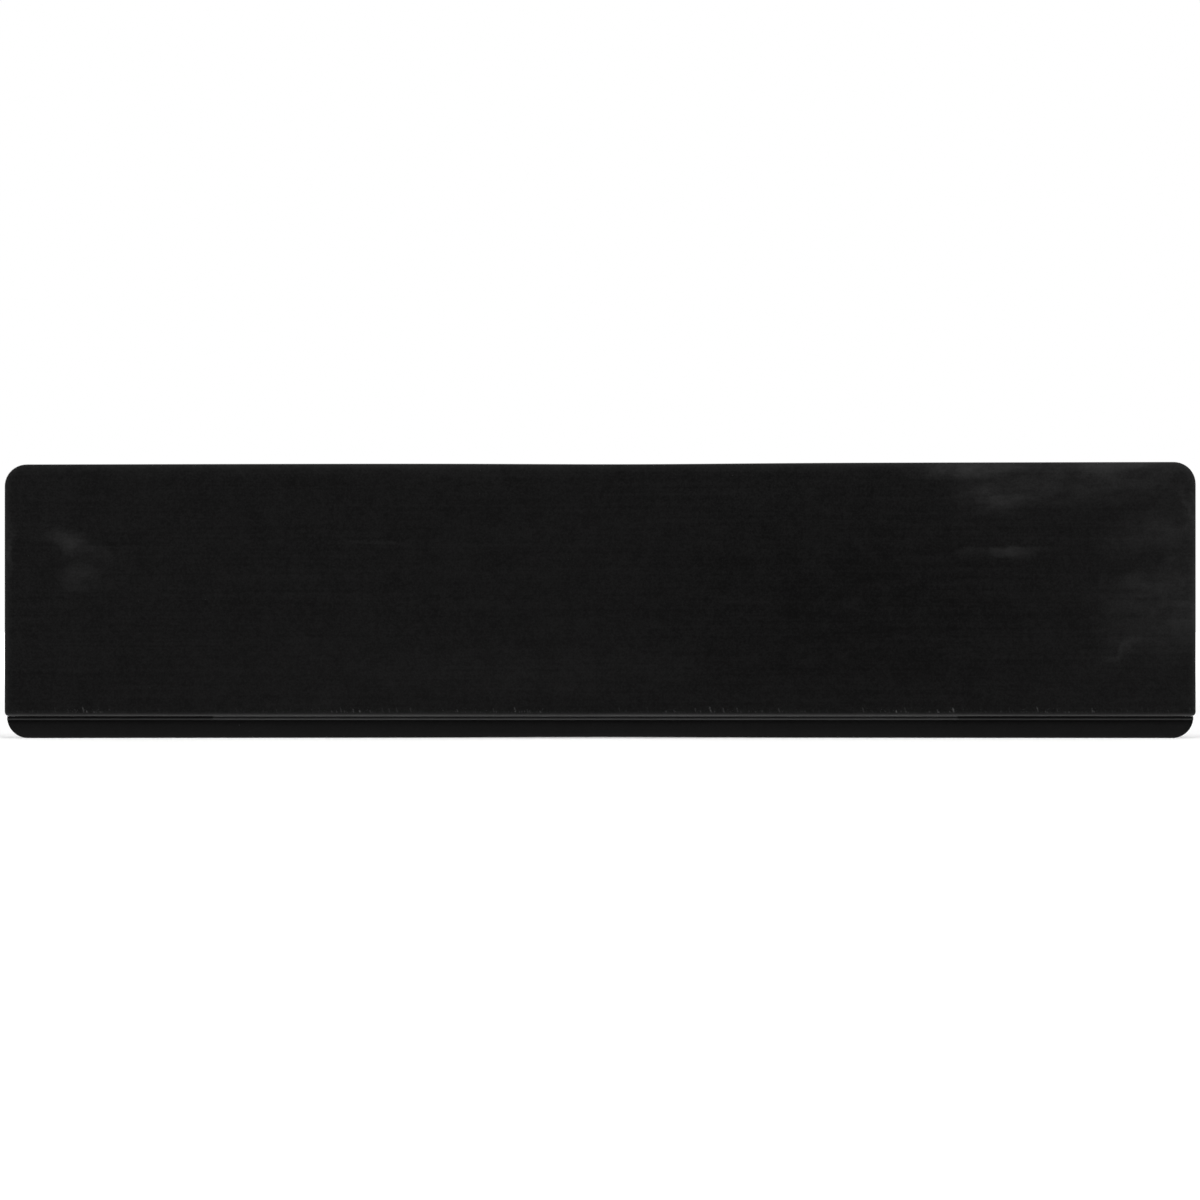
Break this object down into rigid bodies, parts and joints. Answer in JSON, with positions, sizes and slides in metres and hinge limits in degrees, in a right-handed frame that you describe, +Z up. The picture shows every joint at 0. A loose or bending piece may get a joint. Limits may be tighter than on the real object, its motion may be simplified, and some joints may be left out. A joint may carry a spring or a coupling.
{
  "type": "door kick plate",
  "caption": "Flat black door kick plate with rounded corners, a narrow swinging lip snapped into a socket along its foot, and adhesive foam tape on its back.",
  "frame": {"origin": "middle of the rear face of the middle strip of tape, where the plate meets the door", "axes": "+X along the width, to the right as seen from the front; +Y out of the back, towards the door; +Z up"},
  "size_m": [0.65, 0.005, 0.15],
  "materials": {
    "face_plastic": "black satin sheet with a fine grain, lightly scuffed",
    "lip_vinyl": "black semi-matt vinyl with glossier shoulder ribs",
    "plug_plastic": "black cut rod",
    "foam_tape": "dark grey closed-cell foam with a tacky film on its face"
  },
  "bodies": {
    "plate": {"face_plate": "face_plastic", "end_plug_left": "plug_plastic", "end_plug_right": "plug_plastic", "tape_top": "foam_tape", "tape_middle": "foam_tape", "tape_bottom": "foam_tape", "tape_left": "foam_tape", "tape_right": "foam_tape"},
    "lip": {"lower_lip": "lip_vinyl"}
  },
  "joints": [
    {"name": "lip_swing", "type": "hinge", "parent": "plate", "child": "lip", "pos_m": [0, -0.00262, -0.06958], "axis": [1, 0, 0], "range_deg": [-30, 30]}
  ]
}
